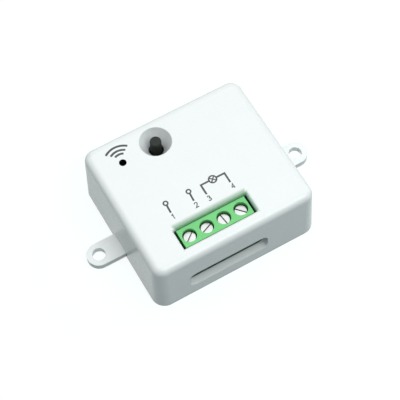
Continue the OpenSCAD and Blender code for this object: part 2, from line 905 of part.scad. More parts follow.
// The armature parts are drawn upright and leaned away from the pole
module armature_open() {
    relay_at()
        translate([0, pivot_y, pivot_z])
            rotate([armature_swing, 0, 0])
                translate([0, -pivot_y, -pivot_z])
                    children();
}

module relay_armature() {
    low = pivot_z + fit_gap;
    color("slategray")
        armature_open()
            box([yoke_w, armature_t, armature_top - low], [0, pivot_y, low]);
}

module relay_contact_arm() {
    arm_top = contact_z + contact_r;
    color("peru")
        armature_open() {
            box([arm_w, arm_t, arm_top - arm_low], [0, arm_face - arm_t / 2, arm_low]);
            along_y(arm_face - arm_t / 2, contact_z, contact_r, armature_t + arm_t / 2);
        }
}

module relay_fixed_contact() {
    face = arm_face + armature_t + fit_gap;
    blade_front = blade_y - blade_w / 2;
    color("peru")
        relay_at() {
            box([blade_t, blade_w, blade_top], [blade_x + blade_t / 2, blade_y, 0]);
            box([blade_x + blade_t + contact_r, blade_t, blade_top - blade_low],
                [(blade_x + blade_t - contact_r) / 2, blade_front + blade_t / 2, blade_low]);
            along_y(face, contact_z, contact_r - fit_gap, blade_front - face + blade_t / 2);
            post([blade_x + blade_t / 2, blade_y], lead_end - board_top, blade_pin_r,
                 board_top - lead_end + fit_gap);
        }
}

module relay_return_spring() {
    color("silver")
        relay_at()
            box([spring_w, spring_t, arm_low - fit_gap - relay_base_t],
                [0, arm_face - arm_t, relay_base_t]);
}

module transformer_core() {
    half_d = core_w / 2 - xf_gap / 4;
    color("dimgray")
        for (s = [0, 1])
            translate([xf_x, xf_y, core_z])
                mirror([0, s, 0])
                    difference() {
                        box([core_w, half_d, core_t], [0, half_d / 2 + xf_gap / 4, 0]);
                        for (t = [-1, 1])
                            box([xf_window - core_leg / 2, half_d - core_side + cut, core_t + 2 * cut],
                                [t * (xf_window + core_leg / 2) / 2, (half_d - core_side - cut) / 2, -cut]);
                    }
}

module xf_sleeve(grow, l) {
    size = [core_leg + 2 * grow, l, core_t + 2 * grow];
    box(size, [xf_x, xf_y, core_z - grow]);
}

module transformer_bobbin() {
    inner_l = core_w - 2 * core_side - 2 * xf_gap;
    outer = xf_gap + xf_tube_t + xf_build;
    color("black") {
        difference() {
            union() {
                xf_sleeve(xf_gap + xf_tube_t, inner_l);
                for (s = [-1, 1])
                    translate([0, s * (inner_l - xf_flange_t) / 2, 0])
                        xf_sleeve(outer, xf_flange_t);
            }
            xf_sleeve(xf_gap, inner_l + cut);
        }
        for (s = [-1, 1])
            box([core_w, xf_rail_d, xf_rail_h], [xf_x, xf_y + s * xf_rail_y, board_top]);
    }
}

module transformer_winding() {
    l = core_w - 2 * core_side - 4 * xf_gap - 2 * xf_flange_t;
    color("gold")
        difference() {
            xf_sleeve(xf_gap + xf_tube_t + xf_build - fit_gap, l);
            xf_sleeve(xf_gap + xf_tube_t + magnet_gap, l + cut);
        }
}

module transformer_pins() {
    color("silver")
        leads(xf_pin_places, lead_r, board_top);
}

module can(place, d, h) {
    groove_z = board_top + seal_h;
    color("midnightblue")
        difference() {
            post(place, board_top + can_lip, d / 2, h - can_lip);
            post(place, board_top + can_lip - cut, d / 2 - seal_inset, seal_h + cut);
            translate([place[0], place[1], groove_z])
                rotate_extrude()
                    translate([d / 2, 0])
                        circle(r = groove_depth);
        }
}

module seal(place, d, pitch_y) {
    color("black")
        difference() {
            post(place, board_top, d / 2 - seal_inset - magnet_gap, can_lip + seal_h - fit_gap);
            for (p = pair_y(place, pitch_y))
                post(p, board_top - cut, lead_r + magnet_gap, seal_h + can_lip + 2 * cut);
        }
}

module bulk_capacitors() {
    for (p = bulk_places)
        can(p, bulk_d, bulk_h);
}

module bulk_capacitor_seals() {
    for (p = bulk_places)
        seal(p, bulk_d, bulk_lead_pitch);
}

module bulk_capacitor_leads() {
    color("silver")
        leads(bulk_lead_places, lead_r, board_top + seal_h);
}

module output_capacitors() {
    for (p = output_places)
        can(p, output_d, output_h);
}

module output_capacitor_seals() {
    for (p = output_places)
        seal(p, output_d, output_lead_pitch);
}

module output_capacitor_leads() {
    color("silver")
        leads(output_lead_places, lead_r, board_top + seal_h);
}

module varistor() {
    color("steelblue")
        difference() {
            translate([varistor_x - varistor_t / 2, varistor_y, varistor_z])
                rotate([0, 90, 0])
                    cylinder(r = varistor_d / 2, h = varistor_t);
            for (p = varistor_lead_places)
                post(p, board_top, lead_r + magnet_gap, varistor_z - board_top);
        }
}

module varistor_leads() {
    color("silver")
        leads(varistor_lead_places, lead_r, varistor_z - magnet_gap);
}

module fuse_resistor() {
    color("mediumseagreen")
        translate([fuse_x - fuse_l / 2, fuse_y, fuse_z])
            rotate([0, 90, 0])
                cylinder(r = fuse_d / 2, h = fuse_l);
}

module fuse_resistor_leads() {
    color("silver")
        for (s = [0, 1])
            translate([fuse_x, fuse_y, 0])
                mirror([s, 0, 0])
                    translate([fuse_l / 2, 0, 0]) {
                        post([fuse_lead_out, 0], lead_end, lead_r, fuse_z - lead_end);
                        translate([fuse_lead_out, 0, fuse_z])
                            sphere(r = lead_r);
                        translate([0, 0, fuse_z])
                            rotate([0, 90, 0])
                                cylinder(r = lead_r, h = fuse_lead_out);
                    }
}

// Moulded chip with bent leads along its front and back
module chip(place, size, lead_count, lead_pitch, lead_w) {
    lead_z = chip_foot + size[2] / 2;
    translate([place[0], place[1], board_top]) {
        box(size, [0, 0, chip_foot]);
        for (s = [-1, 1], i = [0 : lead_count - 1]) {
            x = (i - (lead_count - 1) / 2) * lead_pitch;
            y = s * (size[1] / 2 + chip_lead_out / 4);
            box([lead_w, chip_lead_out / 2 + cut, chip_lead_t],
                [x, y - s * cut / 2, lead_z - chip_lead_t / 2]);
            box([lead_w, chip_lead_t, lead_z + chip_lead_t / 2],
                [x, s * (size[1] / 2 + chip_lead_out / 2), 0]);
            box([lead_w, chip_lead_out / 2, chip_lead_t], [x, y + s * chip_lead_out / 2, 0]);
        }
    }
}

module bridge_rectifier() {
    color("black")
        chip(bridge_place, bridge_size, 2, bridge_pitch, 2 * chip_lead_w);
}

module power_chip() {
    color("black")
        chip(power_chip_place, power_chip_size, 4, power_chip_pitch, chip_lead_w);
}

module voltage_regulator() {
    color("black")
        chip(regulator_place, regulator_size, 3, regulator_pitch, chip_lead_w);
}

module relay_driver() {
    color("black")
        chip(driver_place, driver_size, 2, driver_pitch, chip_lead_w);
}

module flyback_diode() {
    color("black")
        chip(diode_place, diode_size, 1, 0, diode_lead_w);
}

module radio_board() {
    row = (radio_pads - 1) * radio_pad_pitch;
    color("navy")
        difference() {
            box([radio_w, radio_d, radio_t], [radio_x, radio_y, board_top]);
            for (s = [-1, 1], i = [0 : radio_pads - 1])
                post([shield_x - row / 2 + i * radio_pad_pitch, radio_y + s * radio_d / 2],
                     board_top - cut, radio_pad_r, radio_t + 2 * cut);
        }
}

module radio_shield() {
    color("silver")
        translate([shield_x, radio_y, radio_top])
            difference() {
                round_slab(shield_w, shield_d, shield_r, shield_h);
                translate([0, 0, -cut])
                    round_slab(shield_w - 2 * shield_t, shield_d - 2 * shield_t, shield_r - shield_t,
                               shield_h - shield_t + cut);
            }
}

module radio_chip() {
    color("black")
        box([radio_chip_w, radio_chip_w, radio_chip_h], [shield_x, radio_y, radio_top]);
}

// Two columns of flat chips on the underside of the board
module chip_column(x, h) {
    for (i = [0 : chip_rows - 1])
        box([chip_l, chip_w, h],
            [chip_place[0] + x, chip_place[1] + (i - (chip_rows - 1) / 2) * chip_pitch, board_bottom - h]);
}

module chip_resistors() {
    color("black")
        chip_column(0, chip_cap_t);
}

module chip_capacitors() {
    color("tan")
        chip_column(chip_column_gap, chip_h);
}

top_cover();
base_plate();
main_board();
terminal_housing();
terminal_contacts();
terminal_screw(0);  // terminal_screw_1
terminal_screw(1);  // terminal_screw_2
terminal_screw(2);  // terminal_screw_3
terminal_screw(3);  // terminal_screw_4
wire_clamp(0);  // wire_clamp_1
wire_clamp(1);  // wire_clamp_2
wire_clamp(2);  // wire_clamp_3
wire_clamp(3);  // wire_clamp_4
button_stem();
switch_base();
switch_frame();
switch_dome();
switch_legs();
status_led();
relay_base();
relay_case();
relay_bobbin();
relay_winding();
relay_core();
relay_yoke();
relay_armature();
relay_contact_arm();
relay_return_spring();
relay_fixed_contact();
relay_coil_pins();
transformer_core();
transformer_bobbin();
transformer_winding();
transformer_pins();
bulk_capacitors();
bulk_capacitor_seals();
bulk_capacitor_leads();
output_capacitors();
output_capacitor_seals();
output_capacitor_leads();
varistor();
varistor_leads();
fuse_resistor();
fuse_resistor_leads();
bridge_rectifier();
power_chip();
voltage_regulator();
relay_driver();
flyback_diode();
radio_board();
radio_shield();
radio_chip();
chip_resistors();
chip_capacitors();
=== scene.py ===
# Looks of the smart relay module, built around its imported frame.
# Everything is in metres, in the frame of the part: X along the ears, -Y towards the wires, Z up.
import math

import bmesh
import bpy
from mathutils import Matrix, Vector


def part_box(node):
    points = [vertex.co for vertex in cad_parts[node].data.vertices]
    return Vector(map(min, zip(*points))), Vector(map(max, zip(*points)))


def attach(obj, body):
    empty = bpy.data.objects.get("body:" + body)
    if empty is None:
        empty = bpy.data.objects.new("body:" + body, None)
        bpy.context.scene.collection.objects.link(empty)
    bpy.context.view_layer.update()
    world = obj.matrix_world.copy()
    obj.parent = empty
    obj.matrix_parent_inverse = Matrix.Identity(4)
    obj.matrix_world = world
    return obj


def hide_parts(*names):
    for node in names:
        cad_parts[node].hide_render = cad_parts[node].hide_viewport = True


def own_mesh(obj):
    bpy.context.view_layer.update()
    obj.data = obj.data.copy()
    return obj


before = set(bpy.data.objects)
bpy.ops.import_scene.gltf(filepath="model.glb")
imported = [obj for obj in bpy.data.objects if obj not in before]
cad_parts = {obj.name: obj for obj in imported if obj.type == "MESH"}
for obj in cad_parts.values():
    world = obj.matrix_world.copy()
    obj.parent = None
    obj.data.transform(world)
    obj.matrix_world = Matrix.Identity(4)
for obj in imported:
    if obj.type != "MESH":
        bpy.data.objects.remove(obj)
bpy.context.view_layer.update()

MM = 0.001


def centre(node):
    """The middle of a node's box."""
    low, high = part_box(node)
    return (low + high) / 2


def tinted(colour, factor):
    """A colour made darker or lighter by a factor."""
    return tuple(min(1.0, c * factor) for c in colour)


# Places taken from the frame
TOP_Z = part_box("top_cover")[1].z
LIGHT = centre("status_led")
BUTTON = centre("button_stem")
HOUSING_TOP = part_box("terminal_housing")[1].z

# Broken edges: how wide and how round they are, and what counts as one point, as flat and as sharp
BASE_EDGE = 0.2 * MM
HOUSING_EDGE = 0.08 * MM
LEAD_EDGE = 0.05 * MM
EDGE_SEGMENTS = 2
EDGE_PROFILE = 0.5
WELD = 0.0005 * MM
FLAT_ANGLE = math.radians(0.5)
SHARP_ANGLE = math.radians(40)

# Ink of the printed marks: how it lies on the cover, its longest mitre, and the points in a curve
INK_RISE = 0.012 * MM
INK_SINK = 0.006 * MM
MITRE_LIMIT = 0.4
ARC_STEPS = 40

# Radio arcs: radius and half angle of each, the direction they open in, and their middle from the light
ARCS = ((2.65 * MM, 28), (3.78 * MM, 35), (5.08 * MM, 39))
ARC_MIDDLE = 88.5
ARC_SHIFT = (0.17 * MM, 0.035 * MM)
ARC_STROKE = 0.62 * MM

# Wiring marks behind the window: place and ends of each wire, rings of the supply, lamp of the output
WIRE_X = (-11.65 * MM, -4.8 * MM, -0.97 * MM, 6.15 * MM)
WIRE_FRONT = -6.65 * MM
WIRE_BACK = -3.55 * MM
WIRE_STROKE = 0.52 * MM
RING_R = 0.58 * MM
RING_LEAN = 0.14 * MM
RING_STROKE = 0.42 * MM
LAMP_R = 1.04 * MM
CROSS_STROKE = 0.34 * MM

# Numbers in front of the wires: their foot, height and stroke, and their lines as shares of the height
NUMBER_Y = -8.7 * MM
NUMBER_H = 1.45 * MM
NUMBER_STROKE = 0.27 * MM
DIGIT_MIDDLE = 0.3
DIGITS = (
    ([(0.12, 0.78), (0.36, 1.0), (0.36, 0.0)],),
    ([(0.04, 0.74), (0.12, 0.93), (0.31, 1.0), (0.5, 0.93), (0.56, 0.74), (0.46, 0.5), (0.04, 0.0),
      (0.6, 0.0)],),
    ([(0.05, 0.86), (0.29, 1.0), (0.52, 0.88), (0.52, 0.66), (0.27, 0.54)],
     [(0.27, 0.54), (0.57, 0.42), (0.57, 0.14), (0.3, 0.0), (0.03, 0.14)]),
    ([(0.46, 0.0), (0.46, 1.0), (0.02, 0.3)], [(0.02, 0.3), (0.62, 0.3)]),
)

# Terminal screws: the turn of each slot in degrees, the slot, the head, the thread and the tip
SLOT_ANGLES = (38.6, 22.1, -83.2, -47.7)
SLOT_W = 0.28 * MM
SLOT_DEPTH = 0.5 * MM
SLOT_EDGE = 0.04 * MM
HEAD_H = 1.4 * MM
HEAD_EDGE = 0.12 * MM
HALF_STEPS = 28
THREAD_R = 1.25 * MM
THREAD_DEPTH = 0.16 * MM
THREAD_PITCH = 0.45 * MM
THREAD_LEVELS = 6
TIP_EDGE = 0.3 * MM

# Snap dome: thickness of its sheet, and how finely it is divided
DOME_T = 0.12 * MM
DOME_RINGS = 8
DOME_STEPS = 40

# Coils: their turns, the thickness of their layers, and the bend of the wire at the corners
TURN_PITCH = 0.3 * MM
TURN_DEPTH = 0.09 * MM
TURN_LEVELS = 6
COIL_STEPS = 48
RELAY_LAYERS = 1.111 * MM
TRANSFORMER_LAYERS = 1.38 * MM
TRANSFORMER_BEND = 1.5 * MM

# Capacitor cans: rolled top edge, sleeve with a stripe, seat of the seal and rolled groove
CAN_ROLL = 0.35 * MM
CAN_ROLL_STEPS = 5
SLEEVE_RIM = 0.8 * MM
SLEEVE_T = 0.08 * MM
SEAL_INSET = 0.6 * MM
SEAL_H = 1.4 * MM
GROOVE_Z = 0.9 * MM
GROOVE_DEPTH = 0.35 * MM
GROOVE_STEPS = 8
CAN_STEPS = 56
STRIPE_STEPS = 8

# Main colours, and the finish that the cover and the base share
WHITE = (0.85, 0.88, 0.88)
GREEN = (0.145, 0.585, 0.18)
SHELL_FINISH = {"roughness": 0.26, "spread": 0.006}

# Kinds of surface: the slow drift in their shade, and their grain with what it does to gloss and relief
PLASTIC = {"cloud": 9 * MM, "cloud_detail": 2, "grain": 0.25 * MM, "grain_detail": 2,
           "gloss_drift": 0.05, "relief": 0.25, "depth": 0.004 * MM}
METAL = {"cloud": 2.5 * MM, "cloud_detail": 3, "grain": 0.12 * MM, "grain_detail": 4,
         "gloss_drift": 0.08, "relief": 0.2, "depth": 0.002 * MM}
INK = {**PLASTIC, "grain": 0.08 * MM, "depth": 0.001 * MM}
METAL_SPREAD = 0.05
NOISE_ROUGHNESS = 0.55
CLOUD_LOW, CLOUD_HIGH = 0.3, 0.7

# Painted shade in corners and holes: how it is found, and its reach and colour in each material
CREVICE_SAMPLES = 12
CREVICE_LOW, CREVICE_HIGH = 0.25, 0.9
COVER_REACH = 1 * MM
COVER_SHADE = tinted(WHITE, 0.3)
WELL_REACH = 1.5 * MM
WELL_SHADE = (0.02, 0.125, 0.028)
STEM_REACH = 3 * MM
STEM_SHADE = (0.016, 0.0205, 0.016)
STEM_SPECULAR = 0.05

# Painted shade low on the green block: the depths between which it comes in, and its colour
LOW_START = 1.5 * MM
LOW_END = 6 * MM
LOW_SHADE = tinted(GREEN, 0.2)

# Painted shade on the rear and right edge of the window and in the funnel: where it lies, and how it falls
# off
RIM_FALL = 0.2 * MM
WINDOW_RIM = 1.7 * MM
REAR_X = (-12.8 * MM, 7.6 * MM)
REAR_Y = (-11.9 * MM, -9.5 * MM)
REAR_FALL = (-10.95 * MM, -9.7 * MM)
REAR_FADE = 0.9 * MM
REAR_SHADE = (0.2, 0.38, 0.23)
RIGHT_X = (7 * MM, 9.3 * MM)
RIGHT_Y = (-17.2 * MM, -10.1 * MM)
RIGHT_SHADE = (0.45, 0.62, 0.53)
FUNNEL_R = 4.6 * MM
FUNNEL_DEPTH = 4.6 * MM
FUNNEL_SHADE = tinted(WHITE, 0.9)

# Light hole: its radius, the bare edge of its mouth, and the height from which its tube is painted black as
# shade
LIGHT_HOLE_R = 1.03 * MM
LIGHT_EDGE = 0.12 * MM
LIGHT_TUBE_LOW = 8 * MM
BORE_SHADE = (0.006, 0.007, 0.007)

# Length over which a hard limit in a material falls
HARD = 0.001 * MM

# Sockets of the mix node that carry colours
MIX_FIRST, MIX_SECOND, MIX_RESULT = 6, 7, 2

# Camera, as the photograph was taken; the image is 400 pixels wide
IMAGE_PX = 400
FOCAL_PX = 1348.1
AXIS_PX = (198.17, 190.56)
CAMERA_AZIMUTH = math.radians(-27.065)
CAMERA_ELEVATION = math.radians(61.824)
CAMERA_ROLL = math.radians(-2.95)
CAMERA_DISTANCE = 362.24 * MM
CAMERA_TARGET = Vector((0, 0, 9 * MM))
SENSOR_MM = 36

# Studio: a big soft light overhead, and four weak lamps round the part, two of them cool
FLOOR_COLOUR = (0.15, 0.21, 0.21)
FLOOR_LIFT = 0.86
FLOOR_SIZE = 1
FLOOR_Z = -0.02 * MM
NEUTRAL = (1, 1, 1)
COOL = (0.85, 1, 1)
PALE_COOL = (0.9, 1, 1)
LIGHTS = {
    "overhead": {"at": (0, 0, 0.75), "size": 1.2, "level": 1.045, "colour": NEUTRAL},
    "front": {"at": (0.21, -0.42, 0.66), "size": 0.5, "level": 0.292, "colour": PALE_COOL},
    "right": {"at": (0.7, 0.05, 0.3), "size": 0.5, "level": 0.23, "colour": NEUTRAL},
    "back": {"at": (0.15, 0.68, 0.3), "size": 0.5, "level": 0.1, "colour": NEUTRAL},
    "left_rear": {"at": (-0.5, 0.45, 0.28), "size": 0.4, "level": 0.095, "colour": COOL},
}


# Nodes that materials are made of
def shader_of(mat):
    """The shader of a material."""
    return mat.node_tree.nodes["Principled BSDF"]


def new_material(name):
    """A material, its node tree and its shader."""
    mat = bpy.data.materials.new(name)
    mat.use_nodes = True
    return mat, mat.node_tree, shader_of(mat)


def noise(tree, size, detail):
    """Noise of a grain size in metres, on the piece's own coordinates."""
    place = tree.nodes.new("ShaderNodeTexCoord")
    tex = tree.nodes.new("ShaderNodeTexNoise")
    tex.inputs["Scale"].default_value = 1 / size
    tex.inputs["Detail"].default_value = detail
    tex.inputs["Roughness"].default_value = NOISE_ROUGHNESS
    tree.links.new(place.outputs["Object"], tex.inputs["Vector"])
    return tex.outputs["Fac"]


def between(tree, fac, low, high):
    """A number that runs from low to high with fac."""
    node = tree.nodes.new("ShaderNodeMapRange")
    node.inputs["To Min"].default_value = low
    node.inputs["To Max"].default_value = high
    tree.links.new(fac, node.inputs["Value"])
    return node.outputs["Result"]


def ramp(tree, value, low, high):
    """A number that runs from 0 to 1 while a value goes from low to high."""
    result = between(tree, value, 0, 1)
    result.node.inputs["From Min"].default_value = low
    result.node.inputs["From Max"].default_value = high
    return result


def shades(tree, fac, dark, light):
    """A colour that runs from dark to light with fac."""
    node = tree.nodes.new("ShaderNodeValToRGB")
    for i, (position, colour) in enumerate(((CLOUD_LOW, dark), (CLOUD_HIGH, light))):
        node.color_ramp.elements[i].position = position
        node.color_ramp.elements[i].color = (*colour, 1)
    tree.links.new(fac, node.inputs["Fac"])
    return node.outputs["Color"]


def bump(tree, shader, height, strength, distance):
    """Gives a shader's surface a relief."""
    node = tree.nodes.new("ShaderNodeBump")
    node.inputs["Strength"].default_value = strength
    node.inputs["Distance"].default_value = distance
    tree.links.new(height, node.inputs["Height"])
    tree.links.new(node.outputs["Normal"], shader.inputs["Normal"])


def maths(tree, operation, a, b):
    """The result of an operation on two values, each a number or another node's result."""
    node = tree.nodes.new("ShaderNodeMath")
    node.operation = operation
    for socket, value in zip(node.inputs, (a, b)):
        if isinstance(value, (int, float)):
            socket.default_value = value
        else:
            tree.links.new(value, socket)
    return node.outputs[0]


def coordinates(tree, origin=(0, 0, 0)):
    """Distances from a point along X, Y and Z."""
    off = tree.nodes.new("ShaderNodeVectorMath")
    off.operation = "SUBTRACT"
    off.inputs[1].default_value = origin
    tree.links.new(tree.nodes.new("ShaderNodeTexCoord").outputs["Object"], off.inputs[0])
    parts = tree.nodes.new("ShaderNodeSeparateXYZ")
    tree.links.new(off.outputs["Vector"], parts.inputs["Vector"])
    return parts.outputs


def inside(tree, value, low, high, fade=HARD):
    """1 where a value lies between two limits, falling to 0 over a length outside them."""
    above = ramp(tree, value, low - fade, low)
    beyond = ramp(tree, value, high, high + fade)
    return maths(tree, "SUBTRACT", above, beyond)


# Materials
def surface(name, colour, roughness, spread, kind=PLASTIC):
    """A material with a slow drift in its shade, and a fine grain in its gloss and relief."""
    mat, tree, shader = new_material(name)
    cloud = noise(tree, kind["cloud"], kind["cloud_detail"])
    fine = noise(tree, kind["grain"], kind["grain_detail"])
    shade = shades(tree, cloud, tinted(colour, 1 - spread), tinted(colour, 1 + spread))
    gloss = between(tree, fine, roughness - kind["gloss_drift"], roughness + kind["gloss_drift"])
    tree.links.new(shade, shader.inputs["Base Color"])
    tree.links.new(gloss, shader.inputs["Roughness"])
    bump(tree, shader, fine, kind["relief"], kind["depth"])
    return mat


def metal(name, colour, roughness, spread=METAL_SPREAD):
    """Plated or rolled metal."""
    mat = surface(name, colour, roughness, spread, METAL)
    shader_of(mat).inputs["Metallic"].default_value = 1
    return mat


def blended(mat, kept, other):
    """Mixes another colour into a material where kept is under 1."""
    tree = mat.node_tree
    base = shader_of(mat).inputs["Base Color"]
    mix = tree.nodes.new("ShaderNodeMix")
    mix.data_type = "RGBA"
    tree.links.new(kept, mix.inputs["Factor"])
    mix.inputs[MIX_FIRST].default_value = (*other, 1)
    tree.links.new(base.links[0].from_socket, mix.inputs[MIX_SECOND])
    tree.links.new(mix.outputs[MIX_RESULT], base)
    return mat


def shaded_crevices(mat, reach, dark):
    """Paints shade into a material's colour in corners and holes, darker the more closed in they are."""
    tree = mat.node_tree
    occlusion = tree.nodes.new("ShaderNodeAmbientOcclusion")
    occlusion.samples = CREVICE_SAMPLES
    occlusion.inputs["Distance"].default_value = reach
    return blended(mat, ramp(tree, occlusion.outputs["AO"], CREVICE_LOW, CREVICE_HIGH), dark)


def darker_below(mat, low, high, dark, box=None, axis="Z", fade=HARD):
    """Paints shade into a material, darker from one place down to another on an axis, all over or only
    inside a box.
    """
    tree = mat.node_tree
    place = coordinates(tree)
    kept = ramp(tree, place[axis], low, high)
    if box:
        for side, (start, end) in zip("XYZ", box):
            outside = maths(tree, "SUBTRACT", 1, inside(tree, place[side], start, end, fade))
            kept = maths(tree, "MAXIMUM", kept, outside)
    return blended(mat, kept, dark)


def darkened_bore(mat, axis, radius, low, high):
    """Paints the inside of a bore that runs along Z between two heights black, as its shade."""
    tree = mat.node_tree
    place = coordinates(tree, (axis.x, axis.y, 0))
    across = maths(tree, "ADD", maths(tree, "MULTIPLY", place["X"], place["X"]),
                   maths(tree, "MULTIPLY", place["Y"], place["Y"]))
    bore = maths(tree, "MULTIPLY", maths(tree, "LESS_THAN", across, radius * radius),
                 inside(tree, place["Z"], low, high))
    return blended(mat, maths(tree, "SUBTRACT", 1, bore), BORE_SHADE)


def shaded_cover():
    """The cover's plastic, with shade painted round the window, in the funnel and in the light hole."""
    mat = surface("cover_shell", WHITE, **SHELL_FINISH)
    fall = (TOP_Z - RIM_FALL, TOP_Z)
    rim = (TOP_Z - WINDOW_RIM, TOP_Z)
    funnel = [(place - FUNNEL_R, place + FUNNEL_R) for place in (BUTTON.x, BUTTON.y)]
    funnel.append((TOP_Z - FUNNEL_DEPTH, TOP_Z))
    shaded_crevices(mat, COVER_REACH, COVER_SHADE)
    # Painted shade on the right and rear edge of the window
    darker_below(mat, *fall, RIGHT_SHADE, (RIGHT_X, RIGHT_Y, rim))
    darker_below(mat, *REAR_FALL, REAR_SHADE, (REAR_X, REAR_Y, rim), "Y", REAR_FADE)
    # Painted shade in the funnel
    darker_below(mat, *fall, FUNNEL_SHADE, funnel)
    # The light hole's tube painted black, as its shade
    return darkened_bore(mat, LIGHT, LIGHT_HOLE_R + LIGHT_EDGE, LIGHT_TUBE_LOW, TOP_Z - LIGHT_EDGE)


def shaded_housing():
    """The green block's plastic, with shade painted in its wells and further down."""
    mat = surface("green_housing", GREEN, roughness=0.36, spread=0.03)
    shaded_crevices(mat, WELL_REACH, WELL_SHADE)
    return darker_below(mat, HOUSING_TOP - LOW_END, HOUSING_TOP - LOW_START, LOW_SHADE)


def shaded_stem():
    """The button's matt plastic, with shade painted on it down in the funnel."""
    mat = surface("black_stem", (0.041, 0.0475, 0.043), roughness=0.5, spread=0.08)
    shader_of(mat).inputs["Specular IOR Level"].default_value = STEM_SPECULAR
    return shaded_crevices(mat, STEM_REACH, STEM_SHADE)


def plain_name(mat):
    """A material's name, without the number that Blender adds to a name in use."""
    return mat.name.split(".")[0]


MATERIALS = {plain_name(mat): mat for mat in (
    surface("white_shell", WHITE, **SHELL_FINISH),
    shaded_cover(),
    surface("ink", (0.05, 0.054, 0.056), roughness=0.5, spread=0.1, kind=INK),
    # Darker metal for the faces of a screw slot: painted shade in the slot
    metal("screw_slot", (0.26, 0.26, 0.27), roughness=0.5),
    shaded_housing(),
    metal("plated_screw", (0.388, 0.4, 0.395), roughness=0.35, spread=0.12),
    metal("brass_clamp", (0.76, 0.6, 0.3), roughness=0.32),
    metal("tinned_metal", (0.74, 0.75, 0.76), roughness=0.35),
    shaded_stem(),
    surface("dark_plastic", (0.05, 0.05, 0.055), roughness=0.5, spread=0.08),
    metal("spring_brass", (0.72, 0.52, 0.28), roughness=0.28),
    surface("circuit_board", (0.012, 0.085, 0.04), roughness=0.4, spread=0.12),
    surface("light_lens", (0.9, 0.9, 0.84), roughness=0.2, spread=0.02),
    surface("relay_shell", (0.08, 0.2, 0.52), roughness=0.35, spread=0.04),
    surface("pale_bobbin", (0.8, 0.77, 0.66), roughness=0.5, spread=0.03),
    metal("copper_winding", (0.66, 0.34, 0.16), roughness=0.4),
    metal("soft_iron", (0.5, 0.5, 0.5), roughness=0.45),
    surface("ferrite", (0.07, 0.07, 0.07), roughness=0.7, spread=0.15),
    surface("capacitor_sleeve", (0.02, 0.025, 0.08), roughness=0.3, spread=0.05),
    surface("sleeve_stripe", (0.5, 0.52, 0.55), roughness=0.3, spread=0.03),
    surface("rubber_seal", (0.03, 0.03, 0.03), roughness=0.7, spread=0.1),
    surface("varistor_coat", (0.05, 0.2, 0.45), roughness=0.4, spread=0.06),
    surface("resistor_coat", (0.12, 0.4, 0.3), roughness=0.45, spread=0.06),
    surface("chip_ceramic", (0.58, 0.46, 0.34), roughness=0.6, spread=0.08),
)}

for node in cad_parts.values():
    for i, slot in enumerate(node.data.materials):
        node.data.materials[i] = MATERIALS[plain_name(slot)]
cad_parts["top_cover"].data.materials[0] = MATERIALS["cover_shell"]


# Meshes and pieces
def placed(name, data):
    """A new object in the scene."""
    thing = bpy.data.objects.new(name, data)
    bpy.context.scene.collection.objects.link(thing)
    return thing


def mesh_from(bm, name):
    """Turns a bmesh into a mesh whose faces all look outwards."""
    bmesh.ops.recalc_face_normals(bm, faces=bm.faces)
    mesh = bpy.data.meshes.new(name)
    bm.to_mesh(mesh)
    bm.free()
    return mesh


def piece_from(bm, name, materials, body="case"):
    """Turns a bmesh into a piece that rides on a body."""
    piece = placed(name, mesh_from(bm, name))
    for mat in materials:
        piece.data.materials.append(MATERIALS[mat])
    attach(piece, body)
    return piece


def stand_in(bm, name, node, materials, body="case"):
    """A piece in a node's place, with crisp edges, that hides the node."""
    piece = piece_from(bm, name, materials, body)
    piece.data.set_sharp_from_angle(angle=SHARP_ANGLE)
    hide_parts(node)
    return piece


def even_turns(steps):
    """Angles that divide a circle evenly."""
    return [2 * math.pi * k / steps for k in range(steps)]


def vertex(bm, middle, radius, turn, z):
    """A vertex at a radius and a turn from an upright axis."""
    return bm.verts.new((middle[0] + radius * math.cos(turn), middle[1] + radius * math.sin(turn), z))


def ring(bm, middle, radius, z, turns):
    """Vertices round an upright axis."""
    return [vertex(bm, middle, radius, turn, z) for turn in turns]


def skin(bm, a, b):
    """Smooth faces between two rings of vertices, of which one may be a single point."""
    steps = max(len(a), len(b))
    faces = []
    for i in range(steps):
        j = (i + 1) % steps
        corners = (a[i % len(a)], a[j % len(a)], b[j % len(b)], b[i % len(b)])
        face = bm.faces.new(tuple(dict.fromkeys(corners)))
        face.smooth = True
        faces.append(face)
    return faces


# Pieces with their sharp edges broken
def softened(node, name, material, width):
    """A copy of a node whose sharp edges are rounded, in the node's place."""
    bm = bmesh.new()
    bm.from_mesh(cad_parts[node].data)
    bmesh.ops.remove_doubles(bm, verts=bm.verts, dist=WELD)
    bmesh.ops.dissolve_limit(bm, angle_limit=FLAT_ANGLE, verts=bm.verts, edges=bm.edges)
    sharp = [e for e in bm.edges if len(e.link_faces) == 2 and e.calc_face_angle() > SHARP_ANGLE]
    bmesh.ops.bevel(bm, geom=sharp, offset=width, segments=EDGE_SEGMENTS, profile=EDGE_PROFILE,
                    affect="EDGES", clamp_overlap=True)
    for face in bm.faces:
        face.smooth = True
        face.material_index = 0
    piece = stand_in(bm, name, node, [material])
    weighted = piece.modifiers.new("flat_faces", "WEIGHTED_NORMAL")
    weighted.keep_sharp = True


# Printed marks
def left_of(way):
    """A direction in the plane of the cover, turned a quarter to the left."""
    return Vector((-way.y, way.x))


